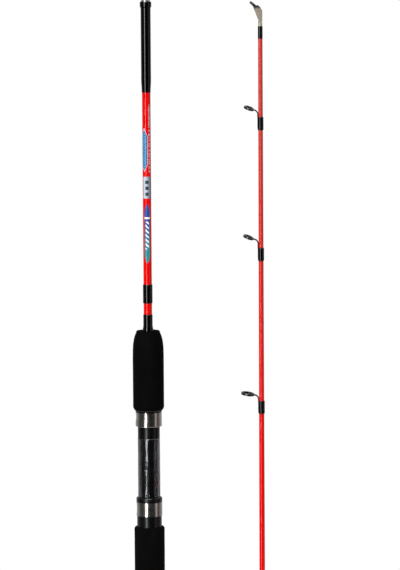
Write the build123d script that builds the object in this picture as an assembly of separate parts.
"""Two-piece spinning rod for ice and small-boat fishing, taken apart for carrying, in build123d.

The butt section stands with its end cap on z = 0 and its axis on Z. The tip section stands beside
it, at +X, with its guides turned towards the butt section. All sizes are in millimetres.
The screw foregrip turns on the seat's thread and drives the sliding hood down onto a reel's foot.
"""
import os

from build123d import *

# ---- overall sizes ----------------------------------------------------------------------------
BUTT_LENGTH = 698.8          # end cap to the rim of the ferrule tube
TIP_BLANK_LENGTH = 676.5     # lower end of the male ferrule to the end of the blank in the tip-top
SECTION_SPACING = 113.0      # axis to axis, as the two sections lie side by side
TIP_LIFT = 3.0               # the male ferrule's end above the level of the end cap

# ---- fits -------------------------------------------------------------------------------------
FERRULE_GAP = 0.03           # radial, a sliding fit
HOOD_GAP = 0.35              # radial, sliding hood over the film
THREAD_GAP = 0.30            # radial and on each flank
CATCH_GAP = 0.25             # radial, the hood's collar in the nut
AXIAL_GAP = 0.30             # the hood's collar between the nut's lip and its shoulder
PASS_GAP = 0.40              # radial, the foregrip's core over the thread

# ---- butt blank: solid glass fibre ---------------------------------------------------------------
BLANK_D = 8.4
BLANK_IN_CAP = 4.0           # how deep the end cap takes the blank
BLANK_END_STEP = 0.4         # radial, turned down inside the ferrule tube
BLANK_IN_TUBE = 30.0

# ---- ferrule ------------------------------------------------------------------------------------
TUBE_STEP = 0.3              # radial, the tube over the blank
TUBE_LENGTH = 85.5
SOCKET_DEPTH = 49.0
SPIGOT_D = 6.0
SPIGOT_LENGTH = 45.0
SPIGOT_SHOULDER_D = 6.8      # stops against the rim of the socket
RIM_SHOWING = 1.4            # bare tube above the wrap
FERRULE_WRAP_WALL = 0.45     # over the tube
FERRULE_WRAP_END_WALL = 0.25  # over the blank, at the foot of the taper
FERRULE_WRAP_TAPER = 12.6
FERRULE_WRAP_TAIL = 5.6      # wrap that runs past the tube onto the blank
FERRULE_LIP_WALL = 1.25
FERRULE_LIP_EDGE = 0.8
FERRULE_LIP_LENGTH = 4.6
FERRULE_LIP_NECK = 2.4

# ---- decorative wraps on the butt blank ------------------------------------------------------------
UPPER_WRAP_FOOT = 398.3
UPPER_WRAP_LENGTH = 18.9
UPPER_WRAP_WALL = 0.6
LOWER_WRAP_TOP = 387.2
LOWER_WRAP_WALL = 0.9
LOWER_WRAP_FOOT_WALL = 1.4
LOWER_WRAP_FLARE = 7.0
WRAP_EDGE = 0.45             # rounding of a wrap's ends

# ---- end cap and rear grip ---------------------------------------------------------------------
CAP_LENGTH = 10.0
CAP_EDGE = 4.0
GRIP_D = 30.4
GRIP_TOP = 173.3
GRIP_TOP_EDGE = 2.4

# ---- reel seat -----------------------------------------------------------------------------------
SEAT_D = 22.0
SEAT_BORE_D = 14.4
SLEEVE_D = SEAT_D + 2.8
FIXED_BAND_FOOT = 184.5
FIXED_BAND_LENGTH = 13.8
FIXED_BAND_D = SEAT_D + 4.0
HOOD_LIP_LENGTH = 4.9
HOOD_LIP_EDGE = 1.7
BAND_WALL = 0.6
FOOT_LOBE_D = SEAT_D - 1.0           # the bulge behind each hood, which holds the reel's foot
FOOT_LOBE_OFFSET = SEAT_D * 0.35
FOOT_LOBE_END_OFFSET = 3.0   # where the bulge has run out
FOOT_WALL = 1.8
FOOT_WIDTH = 15.0
FOOT_POCKET_DEPTH = 14.0
FILM_WALL = 0.15
FILM_LENGTH = 59.8
FILM_FOOT_GAP = 0.4
BARREL_TOP = 276.3           # where the thick barrel ends and the threaded neck begins
NECK_D = 17.8
NECK_TOP = 366.4
THREAD_D = 19.6
THREAD_PITCH = 3.0
THREAD_LENGTH = 46.0
THREAD_ROOT = 1.5            # width of the ridge where it leaves the neck
THREAD_CREST = 0.9
ARBOR_LENGTH = 24.0

# ---- sliding hood --------------------------------------------------------------------------------
HOOD_D = SEAT_D + 4.3
HOOD_FOOT = 274.9
HOOD_LENGTH = 15.3
HOOD_BAND_LENGTH = 14.2
HOOD_MOUTH_LENGTH = 5.0
HOOD_EDGE = 0.4
COLLAR_WALL = 0.65
COLLAR_CATCH = 0.65          # how far the collar's rim stands out
COLLAR_RIM = 1.2
LIP_HEIGHT = 2.1

# ---- screw foregrip -------------------------------------------------------------------------------
HOOD_TRAVEL = 30.0
NUT_THREAD_LENGTH = 15.0
NUT_CORE_D = SEAT_D + 2.6
NUT_SKIRT_WALL = 0.85
NUT_RIM_CHAMFER = 0.8
NUT_CORE_INSET = 12.0        # foam beyond the top of the nut's core
FOREGRIP_TOP = 370.9
FOREGRIP_D = SEAT_D + 9.1
FOREGRIP_SHOULDER_D = SEAT_D + 2.0
FOREGRIP_TOP_D = SEAT_D + 0.4
FOREGRIP_SHOULDER = 2.0
FOREGRIP_TAPER = 29.0        # length over which the top swells to the full diameter
FOREGRIP_CHAMFER = 1.4

# ---- tip blank: solid glass fibre --------------------------------------------------------------------
TIP_BASE_D = 5.8
TIP_TOP_D = 4.45
TIP_CORE_D = 5.0             # turned down inside the male ferrule
TIP_END_D = 3.0              # turned down inside the tip-top's tube
MALE_FERRULE_LENGTH = 59.0
MALE_WRAP_LENGTH = 28.0
MALE_WRAP_D = 8.4

# ---- tip-top ----------------------------------------------------------------------------------------
TIP_TUBE_D = 3.8
TIP_TUBE_LENGTH = 18.5
TIP_TUBE_CAP = 1.0
TIP_WRAP_D = 4.8
TIP_WRAP_LENGTH = 12.5
TIP_WRAP_TAIL = 2.5
TIP_RING_OFFSET = 7.1
TIP_RING_RISE = 12.9         # ring centre above the tube's top
TIP_RING_TILT = 41.0
TIP_RING_D = 7.6
TIP_RING_BORE = 4.4
TIP_WIRE_D = 1.1
TIP_BRACE_D = 0.9
TIP_BRACE_BEND = 2.0
TIP_WIRE_RISE = 8.2          # where the wires bend over, above the tube's top
TIP_WIRE_BEND = 3.6
TIP_WIRE_SPREAD = 50.0       # degrees round the tube from its back
TIP_CHEEK = 0.8              # thickness of the sheet between a wire and its brace
TIP_CHEEK_LEAN = 8.0         # degrees outwards, towards the ring's side
TIP_CHEEK_OUTLINE = [(-1.9, -2.5), (-6.9, 10.6), (-2.6, 12.4), (0.2, 10.2), (1.4, 7.0), (1.7, -2.5)]

# ---- guides, from the tip to the butt ---------------------------------------------------------------
# height and offset place the ring's centre, tilt leans it towards the blank, roll towards -Y,
# and foot_top is where the thread wrap over the foot begins.
GUIDES = [
    dict(height=591.6, offset=11.5, ring_d=10.4, bore=7.0, tilt=19.0, roll=12.0, foot_top=583.0),
    dict(height=463.6, offset=12.5, ring_d=10.8, bore=7.2, tilt=21.0, roll=9.0, foot_top=453.1),
    dict(height=306.6, offset=13.8, ring_d=13.2, bore=9.4, tilt=8.0, roll=5.0, foot_top=299.7),
    dict(height=119.0, offset=16.2, ring_d=17.0, bore=12.6, tilt=8.0, roll=0.0, foot_top=109.5),
]
HOLDER_WALL = 0.6
HOLDER_HEIGHT = 2.0
CERAMIC_HEIGHT = 2.6
CERAMIC_EDGE = 0.42
LEG_WIDTH = 2.6
LEG_THICKNESS = 1.3
LEG_BEND = 4.6
FOOT_THICKNESS = 0.45
FOOT_LENGTH = 11.5
GUIDE_WRAP_LENGTH = 13.2
GUIDE_WRAP_WALL = 0.62

# ---- sizes and places worked out from the ones above ----------------------------------------------------
BLANK_END_D = BLANK_D - 2 * BLANK_END_STEP
TUBE_D = BLANK_D + 2 * TUBE_STEP
FERRULE_WRAP_D = TUBE_D + 2 * FERRULE_WRAP_WALL
FERRULE_WRAP_END_D = BLANK_D + 2 * FERRULE_WRAP_END_WALL
FERRULE_LIP_D = TUBE_D + 2 * FERRULE_LIP_WALL
UPPER_WRAP_D = BLANK_D + 2 * UPPER_WRAP_WALL
LOWER_WRAP_D = BLANK_D + 2 * LOWER_WRAP_WALL
LOWER_WRAP_FOOT_D = BLANK_D + 2 * LOWER_WRAP_FOOT_WALL
TUBE_FOOT = BUTT_LENGTH - TUBE_LENGTH
FIXED_BAND_TOP = FIXED_BAND_FOOT + FIXED_BAND_LENGTH
FIXED_HOOD_TOP = FIXED_BAND_TOP + HOOD_LIP_LENGTH
FILM_D = SEAT_D + 2 * FILM_WALL
FILM_FOOT = FIXED_HOOD_TOP + FILM_FOOT_GAP
HOOD_BORE_D = FILM_D + 2 * HOOD_GAP
HOOD_TOP = HOOD_FOOT + HOOD_LENGTH
NUT_FOOT = HOOD_TOP + AXIAL_GAP
LIP_TOP = NUT_FOOT + LIP_HEIGHT
COLLAR_D = HOOD_BORE_D + 2 * COLLAR_WALL
COLLAR_RIM_D = COLLAR_D + 2 * COLLAR_CATCH
COLLAR_TOP = LIP_TOP + AXIAL_GAP + COLLAR_RIM
RECESS_D = COLLAR_RIM_D + 2 * CATCH_GAP
RECESS_TOP = COLLAR_TOP + AXIAL_GAP
SKIRT_D = RECESS_D + 2 * NUT_SKIRT_WALL
NUT_THREAD_FOOT = BARREL_TOP + HOOD_TRAVEL + 2 * AXIAL_GAP
NUT_THREAD_TOP = NUT_THREAD_FOOT + NUT_THREAD_LENGTH
NUT_MINOR_D = NECK_D + 2 * THREAD_GAP
NUT_MAJOR_D = THREAD_D + 2 * THREAD_GAP
BARREL_PASS_D = FILM_D + 2 * HOOD_GAP
CORE_BORE_D = THREAD_D + 2 * PASS_GAP
NUT_CORE_TOP = FOREGRIP_TOP - NUT_CORE_INSET
TIP_SHOULDER = TIP_LIFT + MALE_FERRULE_LENGTH
TIP_BLANK_TOP = TIP_LIFT + TIP_BLANK_LENGTH
TIP_TUBE_FOOT = TIP_BLANK_TOP + 0.5 - TIP_TUBE_LENGTH + TIP_TUBE_CAP
TIP_TUBE_TOP = TIP_TUBE_FOOT + TIP_TUBE_LENGTH


def round_bar(diameter, low, high):
    """A cylinder on the Z axis between two heights."""
    return Pos(0, 0, low) * Cylinder(
        diameter / 2, high - low, align=(Align.CENTER, Align.CENTER, Align.MIN)
    )


def pipe(outer, inner, low, high):
    """A tube on the Z axis between two heights."""
    return round_bar(outer, low, high) - round_bar(inner, low - 1, high + 1)


def turned(profile):
    """Turn a closed outline of (radius, height) points about the Z axis."""
    outline = Polyline(*[(radius, 0, height) for radius, height in profile], close=True)
    return revolve(make_face(outline), axis=Axis.Z)


def soft_ended(solid, radius):
    """Round the two end circles of a bar."""
    rims = solid.edges().filter_by(GeomType.CIRCLE)
    return fillet(rims, radius)


def hood_outline(diameter, offset, inset=0.0):
    """A circle round the seat, joined by straight flanks to a bulge at +Y for the reel's foot."""
    ring = Circle(diameter / 2 - inset)
    lobe = Pos(0, offset) * Circle(FOOT_LOBE_D / 2 - inset)
    return make_hull(ring.edges() + lobe.edges())


def hood_block(diameter, low, high, inset=0.0):
    """The hood's full outline raised between two heights."""
    return extrude(Pos(0, 0, low) * hood_outline(diameter, FOOT_LOBE_OFFSET, inset), high - low)


def hood_ramp(diameter, knee, end, inset=0.0):
    """The bulge running down from its full height at the knee to almost nothing at the end."""
    full = Pos(0, 0, knee) * hood_outline(diameter, FOOT_LOBE_OFFSET, inset)
    small = Pos(0, 0, end) * hood_outline(diameter, FOOT_LOBE_END_OFFSET, inset)
    return loft([full, small])


def foot_pocket(diameter, mouth, knee, end, bottom):
    """The tapering space for one end of the reel's foot, open past the mouth."""
    outside = 1.0 if mouth > knee else -1.0
    low, high = sorted((mouth + outside, knee))
    space = hood_block(diameter, low, high, FOOT_WALL) + hood_ramp(diameter, knee, end, FOOT_WALL)
    low, high = sorted((mouth + 2 * outside, bottom))
    behind = Pos(0, 0, low) * Box(
        FOOT_WIDTH, 2 * FOOT_LOBE_D, high - low, align=(Align.CENTER, Align.MIN, Align.MIN)
    )
    return space & behind


def thread_ridge(root_d, crest_d, root_width, crest_width, foot, length):
    """A right-hand helical ridge. crest_d is over root_d outside and under it inside."""
    sink = 0.25 if crest_d > root_d else -0.25
    middle = root_d / 2
    path = Helix(THREAD_PITCH, length, middle, center=(0, 0, foot))
    section = make_face(Polyline(
        (middle - sink, 0, foot - root_width / 2),
        (middle, 0, foot - root_width / 2),
        (crest_d / 2, 0, foot - crest_width / 2),
        (crest_d / 2, 0, foot + crest_width / 2),
        (middle, 0, foot + root_width / 2),
        (middle - sink, 0, foot + root_width / 2),
        close=True,
    ))
    return sweep(section, path=path, is_frenet=True)


def butt_blank():
    body = round_bar(BLANK_D, CAP_LENGTH - BLANK_IN_CAP, TUBE_FOOT)
    return body + round_bar(BLANK_END_D, TUBE_FOOT, TUBE_FOOT + BLANK_IN_TUBE)


def ferrule_tube():
    body = round_bar(TUBE_D, TUBE_FOOT, BUTT_LENGTH)
    socket_d = SPIGOT_D + 2 * FERRULE_GAP
    socket = round_bar(socket_d, BUTT_LENGTH - SOCKET_DEPTH, BUTT_LENGTH + 1)
    return body - socket - round_bar(BLANK_END_D, TUBE_FOOT - 1, TUBE_FOOT + BLANK_IN_TUBE)


def ferrule_wrap(core):
    foot = TUBE_FOOT - FERRULE_WRAP_TAIL
    top = BUTT_LENGTH - RIM_SHOWING
    lip = top - FERRULE_LIP_LENGTH
    solid = turned([
        (0, foot),
        (FERRULE_WRAP_END_D / 2, foot),
        (FERRULE_WRAP_D / 2, foot + FERRULE_WRAP_TAPER),
        (FERRULE_WRAP_D / 2, lip - FERRULE_LIP_NECK),
        (FERRULE_LIP_D / 2, lip),
        (FERRULE_LIP_D / 2, top - FERRULE_LIP_EDGE),
        (FERRULE_LIP_D / 2 - FERRULE_LIP_EDGE, top),
        (0, top),
    ])
    return solid - core


def upper_wrap(core):
    top = UPPER_WRAP_FOOT + UPPER_WRAP_LENGTH
    return soft_ended(round_bar(UPPER_WRAP_D, UPPER_WRAP_FOOT, top), WRAP_EDGE) - core


def lower_wrap(core):
    solid = turned([
        (0, NECK_TOP),
        (LOWER_WRAP_FOOT_D / 2, NECK_TOP),
        (LOWER_WRAP_FOOT_D / 2, FOREGRIP_TOP - 1.0),
        (LOWER_WRAP_D / 2, FOREGRIP_TOP - 1.0 + LOWER_WRAP_FLARE),
        (LOWER_WRAP_D / 2, LOWER_WRAP_TOP - WRAP_EDGE),
        (LOWER_WRAP_D / 2 - WRAP_EDGE, LOWER_WRAP_TOP),
        (0, LOWER_WRAP_TOP),
    ])
    return solid - core


def butt_cap(core):
    body = round_bar(GRIP_D, 0, CAP_LENGTH)
    body = fillet(body.edges().sort_by(Axis.Z)[0], CAP_EDGE)
    return body - core


def rear_grip(core):
    body = round_bar(GRIP_D, CAP_LENGTH, GRIP_TOP)
    body = fillet(body.edges().sort_by(Axis.Z)[-1], GRIP_TOP_EDGE)
    return body - core


def seat_body():
    """Sleeve, fixed hood, barrel and threaded neck, moulded in one piece."""
    sleeve = round_bar(SLEEVE_D, GRIP_TOP, FIXED_BAND_FOOT)
    core = hood_ramp(FIXED_BAND_D, FIXED_BAND_TOP, FIXED_BAND_FOOT, BAND_WALL)
    lip = hood_block(FIXED_BAND_D, FIXED_BAND_TOP, FIXED_HOOD_TOP)
    lip = fillet(lip.faces().sort_by(Axis.Z)[-1].edges(), HOOD_LIP_EDGE)
    pocket = foot_pocket(
        FIXED_BAND_D, FIXED_HOOD_TOP, FIXED_BAND_TOP, FIXED_BAND_FOOT,
        FIXED_HOOD_TOP - FOOT_POCKET_DEPTH,
    )
    body = sleeve + core + lip - pocket
    body += round_bar(SEAT_D, FIXED_BAND_FOOT, BARREL_TOP)
    body += round_bar(NECK_D, BARREL_TOP, NECK_TOP)
    body += thread_ridge(
        NECK_D, THREAD_D, THREAD_ROOT, THREAD_CREST,
        BARREL_TOP + THREAD_PITCH, THREAD_LENGTH - 2 * THREAD_PITCH,
    )
    return body - round_bar(SEAT_BORE_D, GRIP_TOP - 1, NECK_TOP + 1)


def fixed_hood_band():
    ring = hood_ramp(FIXED_BAND_D, FIXED_BAND_TOP, FIXED_BAND_FOOT)
    return ring - hood_ramp(FIXED_BAND_D, FIXED_BAND_TOP, FIXED_BAND_FOOT, BAND_WALL)


def seat_film():
    return pipe(FILM_D, SEAT_D, FILM_FOOT, FILM_FOOT + FILM_LENGTH - FILM_FOOT_GAP)


def arbor(core, low):
    return round_bar(SEAT_BORE_D, low, low + ARBOR_LENGTH) - core


def sliding_hood():
    """Hood with the pocket open downwards, and a collar that the foregrip's nut turns on."""
    band_top = HOOD_FOOT + HOOD_BAND_LENGTH
    knee = HOOD_FOOT + HOOD_MOUTH_LENGTH
    lower = hood_block(HOOD_D, HOOD_FOOT, knee, BAND_WALL) + hood_ramp(HOOD_D, knee, band_top, BAND_WALL)
    rim = round_bar(HOOD_D, band_top, HOOD_TOP)
    collar = round_bar(COLLAR_D, HOOD_TOP, COLLAR_TOP)
    catch = round_bar(COLLAR_RIM_D, COLLAR_TOP - COLLAR_RIM, COLLAR_TOP)
    body = lower + rim + collar + catch
    body -= foot_pocket(HOOD_D, HOOD_FOOT, knee, band_top, band_top - FOOT_WALL)
    return body - round_bar(HOOD_BORE_D, HOOD_FOOT - 1, COLLAR_TOP + 1)


def sliding_hood_band():
    band_top = HOOD_FOOT + HOOD_BAND_LENGTH
    knee = HOOD_FOOT + HOOD_MOUTH_LENGTH
    mouth = hood_block(HOOD_D, HOOD_FOOT, knee)
    mouth = fillet(mouth.faces().sort_by(Axis.Z)[0].edges(), HOOD_EDGE)
    mouth -= hood_block(HOOD_D, HOOD_FOOT - 1, knee, BAND_WALL)
    return mouth + (hood_ramp(HOOD_D, knee, band_top) - hood_ramp(HOOD_D, knee, band_top, BAND_WALL))


def nut_envelope():
    """Outside of the foregrip's core, which the foam is glued to."""
    skirt = round_bar(SKIRT_D, NUT_FOOT, RECESS_TOP + NUT_SKIRT_WALL)
    skirt = chamfer(skirt.edges().sort_by(Axis.Z)[0], NUT_RIM_CHAMFER)
    return skirt + round_bar(NUT_CORE_D, RECESS_TOP, NUT_CORE_TOP)


def foregrip_nut():
    """Threaded core of the foregrip, with a skirt that snaps over the hood's collar."""
    body = nut_envelope()
    body -= round_bar(COLLAR_D + 2 * CATCH_GAP, NUT_FOOT - 1, LIP_TOP + 1)
    body -= round_bar(RECESS_D, LIP_TOP, RECESS_TOP)
    body -= round_bar(BARREL_PASS_D, RECESS_TOP - 1, NUT_THREAD_FOOT)
    body -= round_bar(NUT_MAJOR_D, NUT_THREAD_FOOT - 1, NUT_THREAD_TOP + 1)
    body -= round_bar(CORE_BORE_D, NUT_THREAD_TOP, FOREGRIP_TOP + 1)
    flank = (THREAD_ROOT - THREAD_CREST) / (THREAD_D - NECK_D)
    root = THREAD_PITCH - 2 * THREAD_GAP - THREAD_CREST + 2 * THREAD_GAP * flank
    crest = THREAD_PITCH - 2 * THREAD_GAP - THREAD_ROOT + 2 * THREAD_GAP * flank
    turns_up = round((NUT_THREAD_FOOT - BARREL_TOP) / THREAD_PITCH) + 0.5
    body += thread_ridge(
        NUT_MAJOR_D, NUT_MINOR_D, root, crest,
        BARREL_TOP + turns_up * THREAD_PITCH, NUT_THREAD_LENGTH - 2 * THREAD_PITCH,
    )
    return body


def foregrip(core):
    """Foam sleeve: swells from a narrow shoulder to a full grip and ends in a chamfer."""
    full = FOREGRIP_D / 2
    top = FOREGRIP_TOP
    foot = NUT_FOOT + NUT_RIM_CHAMFER
    shoulder = top - FOREGRIP_SHOULDER
    swell = Spline(
        (full, 0, top - FOREGRIP_TAPER),
        (full - 0.95, 0, top - FOREGRIP_TAPER / 2),
        (FOREGRIP_SHOULDER_D / 2, 0, shoulder),
        tangents=[(0, 0, 1), (-0.5, 0, 1)],
    )
    rest = Polyline(
        (FOREGRIP_SHOULDER_D / 2, 0, shoulder),
        (FOREGRIP_TOP_D / 2, 0, top),
        (0, 0, top),
        (0, 0, foot),
        (full - FOREGRIP_CHAMFER, 0, foot),
        (full, 0, foot + 2 * FOREGRIP_CHAMFER),
        (full, 0, top - FOREGRIP_TAPER),
    )
    solid = revolve(make_face(swell.edges() + rest.edges()), axis=Axis.Z)
    return solid - core - round_bar(CORE_BORE_D, foot - 1, top + 1)


def tip_blank():
    body = round_bar(TIP_CORE_D, TIP_LIFT, TIP_SHOULDER)
    length = TIP_TUBE_FOOT - TIP_SHOULDER
    cone = Cone(TIP_BASE_D / 2, TIP_TOP_D / 2, length, align=(Align.CENTER, Align.CENTER, Align.MIN))
    body += Pos(0, 0, TIP_SHOULDER) * cone
    return body + round_bar(TIP_END_D, TIP_TUBE_FOOT, TIP_BLANK_TOP)


def tip_radius(height):
    """Radius of the tip blank's taper at a height."""
    share = (height - TIP_SHOULDER) / (TIP_TUBE_FOOT - TIP_SHOULDER)
    return (TIP_BASE_D + share * (TIP_TOP_D - TIP_BASE_D)) / 2


def male_ferrule():
    """Sleeve on the tip blank's end: the spigot, then a shoulder under the wrap."""
    stop = TIP_LIFT + SPIGOT_LENGTH
    sleeve = round_bar(SPIGOT_D, TIP_LIFT, stop) + round_bar(SPIGOT_SHOULDER_D, stop, TIP_SHOULDER)
    return sleeve - round_bar(TIP_CORE_D, TIP_LIFT - 1, TIP_SHOULDER + 1)


def male_ferrule_wrap(core):
    foot = TIP_LIFT + SPIGOT_LENGTH
    return soft_ended(round_bar(MALE_WRAP_D, foot, foot + MALE_WRAP_LENGTH), WRAP_EDGE) - core


def ring_plane(offset, height, tilt, roll=0.0):
    """Plane of a guide ring: X runs towards the blank and down, Z is the line's way through."""
    return Pos(-offset, 0, height) * Rot(0, tilt, 0) * Rot(roll, 0, 0)


def ring_holder(place, outer, height):
    """Metal hoop that grips the ceramic ring."""
    inner = outer - 2 * HOLDER_WALL
    return place * (Cylinder(outer / 2, height) - Cylinder(inner / 2, height + 1))


def ceramic_ring(place, outer, bore):
    """Ceramic insert with rounded rims and a short straight wall inside."""
    width = (outer - 2 * HOLDER_WALL - bore) / 2
    section = Plane.XZ * (Pos(bore / 2 + width / 2, 0) * RectangleRounded(
        width, CERAMIC_HEIGHT, CERAMIC_EDGE
    ))
    return place * revolve(section, axis=Axis.Z)


def tip_top_frame():
    """Tube that caps the blank, with two wires brazed to it that carry the ring's hoop."""
    body = round_bar(TIP_TUBE_D, TIP_TUBE_FOOT, TIP_TUBE_TOP)
    body = fillet(body.edges().sort_by(Axis.Z)[-1], TIP_TUBE_CAP / 2)
    place = ring_plane(TIP_RING_OFFSET, TIP_TUBE_TOP + TIP_RING_RISE, TIP_RING_TILT)
    body += ring_holder(place, TIP_RING_D, HOLDER_HEIGHT)
    reach = (TIP_TUBE_D + TIP_WIRE_D) / 2 - 0.15
    bend = TIP_TUBE_TOP + TIP_WIRE_RISE
    for side in (-1, 1):
        spread = Vector(reach, 0, 0).rotate(Axis.Z, side * TIP_WIRE_SPREAD)
        hoop = place * Pos(
            Vector(TIP_RING_D / 2 - HOLDER_WALL / 2, 0, 0).rotate(Axis.Z, side * TIP_WIRE_SPREAD / 2)
        )
        path = FilletPolyline(
            hoop.position,
            (spread.X, spread.Y, bend),
            (spread.X, spread.Y, TIP_TUBE_TOP - TIP_TUBE_CAP * 7),
            radius=TIP_WIRE_BEND,
        )
        start = Plane(origin=path @ 0, z_dir=path % 0)
        body += sweep(start * Circle(TIP_WIRE_D / 2), path=path)
        beside = place * Pos(0, side * (TIP_RING_D / 2 - HOLDER_WALL / 2), 0)
        front = Vector(-reach, 0, 0).rotate(Axis.Z, side * TIP_WIRE_SPREAD)
        brace = FilletPolyline(
            beside.position,
            (front.X, -front.Y, TIP_TUBE_TOP - TIP_TUBE_CAP),
            (front.X, -front.Y, TIP_TUBE_TOP - TIP_TUBE_CAP * 4),
            radius=TIP_BRACE_BEND,
        )
        start = Plane(origin=brace @ 0, z_dir=brace % 0)
        body += sweep(start * Circle(TIP_BRACE_D / 2), path=brace)
        cheek = make_face(Polyline(*[(x, 0, z) for x, z in TIP_CHEEK_OUTLINE], close=True))
        cheek = extrude(cheek, TIP_CHEEK / 2, both=True)
        stand = Pos(0, side * TIP_TUBE_D / 2, TIP_TUBE_TOP) * Rot(-side * TIP_CHEEK_LEAN, 0, 0)
        body += stand * cheek
    body -= round_bar(TIP_END_D, TIP_TUBE_FOOT - 1, TIP_BLANK_TOP)
    bore = place * Cylinder(TIP_RING_D / 2 - HOLDER_WALL, TIP_RING_D)
    return body - bore


def tip_top_ring():
    place = ring_plane(TIP_RING_OFFSET, TIP_TUBE_TOP + TIP_RING_RISE, TIP_RING_TILT)
    return ceramic_ring(place, TIP_RING_D, TIP_RING_BORE)


def tip_top_wrap(core):
    foot = TIP_TUBE_FOOT - TIP_WRAP_TAIL
    return soft_ended(round_bar(TIP_WRAP_D, foot, foot + TIP_WRAP_LENGTH), 0.2) - core


def guide_frame(guide, core):
    """Stamped single-foot guide: a hoop, a bent leg and a foot ground thin for the wrap."""
    place = ring_plane(guide["offset"], guide["height"], guide["tilt"], guide["roll"])
    hoop = ring_holder(place, guide["ring_d"], HOLDER_HEIGHT)
    rim = place * Pos(guide["ring_d"] / 2 - HOLDER_WALL / 2, 0, 0)
    surface = tip_radius(guide["foot_top"])
    beside = -(surface + FOOT_THICKNESS / 2 + 0.1)
    path = FilletPolyline(
        rim.position,
        (beside, 0, rim.position.Z - (guide["ring_d"] - 3.0) / 12),
        (beside, 0, guide["foot_top"] - 0.5),
        radius=LEG_BEND,
    )
    start = Plane(origin=path @ 0, x_dir=(0, 1, 0), z_dir=path % 0)
    leg = sweep(start * Rectangle(LEG_WIDTH, LEG_THICKNESS), path=path)
    low = guide["foot_top"] - FOOT_LENGTH
    foot_reach = tip_radius(low) + FOOT_THICKNESS
    foot = Pos(0, 0, low) * Box(
        foot_reach, LEG_WIDTH * 0.8, FOOT_LENGTH + 0.3, align=(Align.MAX, Align.CENTER, Align.MIN)
    )
    bore = place * Cylinder(guide["ring_d"] / 2 - HOLDER_WALL, guide["ring_d"] / 2)
    return hoop + (leg - bore) + foot - core


def guide_ring(guide):
    place = ring_plane(guide["offset"], guide["height"], guide["tilt"], guide["roll"])
    return ceramic_ring(place, guide["ring_d"], guide["bore"])


def guide_wrap(guide, core):
    """Thread wound over the guide's foot and varnished."""
    top = guide["foot_top"]
    middle = top - GUIDE_WRAP_LENGTH / 2
    diameter = 2 * (tip_radius(middle) + GUIDE_WRAP_WALL)
    bar = round_bar(diameter, top - GUIDE_WRAP_LENGTH, top)
    return soft_ended(bar, WRAP_EDGE) - core


def build():
    """Every piece by its node name."""
    blank = butt_blank()
    tube = ferrule_tube()
    nut = foregrip_nut()
    beside = Pos(SECTION_SPACING, 0, 0)
    tip = tip_blank()
    male = male_ferrule()
    top_frame = tip_top_frame()
    nodes = {
        "butt_blank": blank,
        "butt_cap": butt_cap(blank),
        "rear_grip": rear_grip(blank),
        "seat_body": seat_body(),
        "fixed_hood_band": fixed_hood_band(),
        "seat_film": seat_film(),
        "lower_arbor": arbor(blank, GRIP_TOP),
        "middle_arbor": arbor(blank, (GRIP_TOP + NECK_TOP - ARBOR_LENGTH) / 2),
        "upper_arbor": arbor(blank, NECK_TOP - ARBOR_LENGTH),
        "lower_wrap": lower_wrap(blank),
        "upper_wrap": upper_wrap(blank),
        "ferrule_tube": tube,
        "ferrule_wrap": ferrule_wrap(blank + tube + round_bar(TUBE_D, TUBE_FOOT, BUTT_LENGTH)),
        "sliding_hood": sliding_hood(),
        "sliding_hood_band": sliding_hood_band(),
        "foregrip_nut": nut,
        "foregrip": foregrip(nut_envelope()),
        "tip_blank": beside * tip,
        "male_ferrule": beside * male,
        "male_ferrule_wrap": beside * male_ferrule_wrap(tip + male),
        "tip_top_frame": beside * top_frame,
        "tip_top_ring": beside * tip_top_ring(),
        "tip_top_wrap": beside * tip_top_wrap(tip + round_bar(TIP_TUBE_D, TIP_TUBE_FOOT, TIP_TUBE_TOP)),
    }
    for number, guide in enumerate(GUIDES, start=1):
        frame = guide_frame(guide, tip)
        nodes[f"guide_{number}_frame"] = beside * frame
        nodes[f"guide_{number}_ring"] = beside * guide_ring(guide)
        nodes[f"guide_{number}_wrap"] = beside * guide_wrap(guide, tip + frame)
    return nodes


def main():
    os.makedirs("parts", exist_ok=True)
    for name, shape in build().items():
        export_step(shape, f"parts/{name}.step")
        print(f"{name:20s} {shape.volume:10.1f} mm3")


main()
